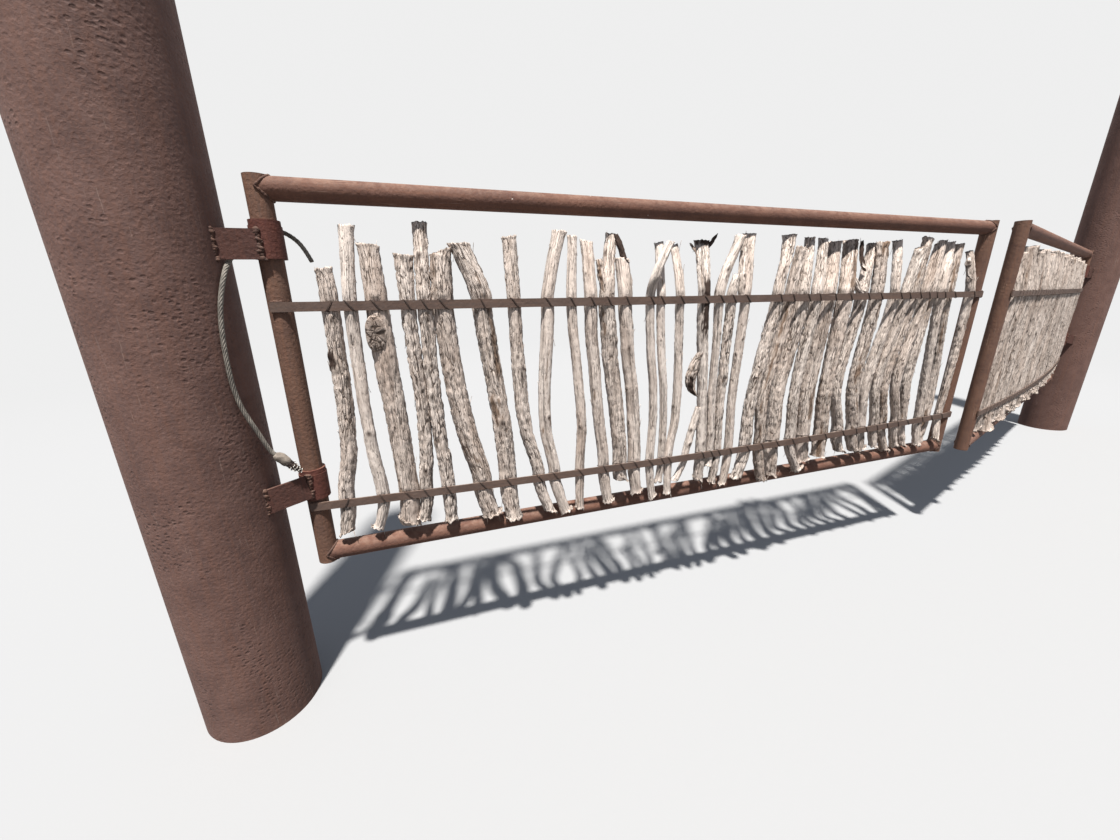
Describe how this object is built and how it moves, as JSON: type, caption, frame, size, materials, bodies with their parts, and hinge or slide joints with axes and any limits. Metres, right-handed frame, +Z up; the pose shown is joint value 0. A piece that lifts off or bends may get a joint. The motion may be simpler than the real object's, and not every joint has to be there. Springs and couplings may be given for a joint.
{
  "type": "double picket ranch gate with pipe posts",
  "caption": "Double ranch gate: two heavy pipe posts and two pipe-framed leaves filled with crooked weathered branch pickets, hung on sleeve hinges.",
  "frame": {"origin": "centre of the near (left) post's flat base", "axes": "+X from the near post to the far post, +Y away from the road side where the bars are, +Z up"},
  "size_m": [8.3164, 0.8569, 4.008],
  "materials": {
    "post_paint": "matte, pitted purple-brown",
    "frame_rust": "rusty brown, scratched",
    "hinge_oxide": "red oxide with lumpy welds",
    "bar_steel": "dark rusty flat bar",
    "weathered_wood": "sun-bleached grey branch wood",
    "cable_metal": "weathered grey strand"
  },
  "bodies": {
    "posts": {"near_post": "post_paint", "near_post_cap": "post_paint", "near_upper_hinge_plate": "hinge_oxide", "near_upper_sleeve": "hinge_oxide", "near_lower_hinge_plate": "hinge_oxide", "near_lower_sleeve": "hinge_oxide", "far_post": "post_paint", "far_post_cap": "post_paint", "far_upper_hinge_plate": "hinge_oxide", "far_upper_sleeve": "hinge_oxide", "far_lower_hinge_plate": "hinge_oxide", "far_lower_sleeve": "hinge_oxide", "cable": "cable_metal", "cable_end": "cable_metal"},
    "near_leaf": {"near_hinge_stile": "frame_rust", "near_meeting_stile": "frame_rust", "near_top_rail": "frame_rust", "near_bottom_rail": "frame_rust", "near_upper_bar": "bar_steel", "near_lower_bar": "bar_steel", "near_upper_collar": "hinge_oxide", "near_lower_collar": "hinge_oxide", "near_pickets_1": "weathered_wood", "near_pickets_2": "weathered_wood", "near_pickets_3": "weathered_wood", "near_pickets_4": "weathered_wood", "near_pickets_5": "weathered_wood", "near_pickets_6": "weathered_wood"},
    "far_leaf": {"far_hinge_stile": "frame_rust", "far_meeting_stile": "frame_rust", "far_top_rail": "frame_rust", "far_bottom_rail": "frame_rust", "far_upper_bar": "bar_steel", "far_lower_bar": "bar_steel", "far_upper_collar": "hinge_oxide", "far_lower_collar": "hinge_oxide", "far_pickets_1": "weathered_wood", "far_pickets_2": "weathered_wood", "far_pickets_3": "weathered_wood", "far_pickets_4": "weathered_wood", "far_pickets_5": "weathered_wood", "far_pickets_6": "weathered_wood"}
  },
  "joints": [
    {"name": "near_leaf_hinge", "type": "hinge", "parent": "posts", "child": "near_leaf", "pos_m": [0.32, -0.04, 1.2], "axis": [0, 0, 1], "range_deg": [-82.1, 97.9]},
    {"name": "far_leaf_hinge", "type": "hinge", "parent": "posts", "child": "far_leaf", "pos_m": [7.59, -0.005, 1.2], "axis": [0, 0, 1], "range_deg": [-99.7, 80.3]}
  ]
}
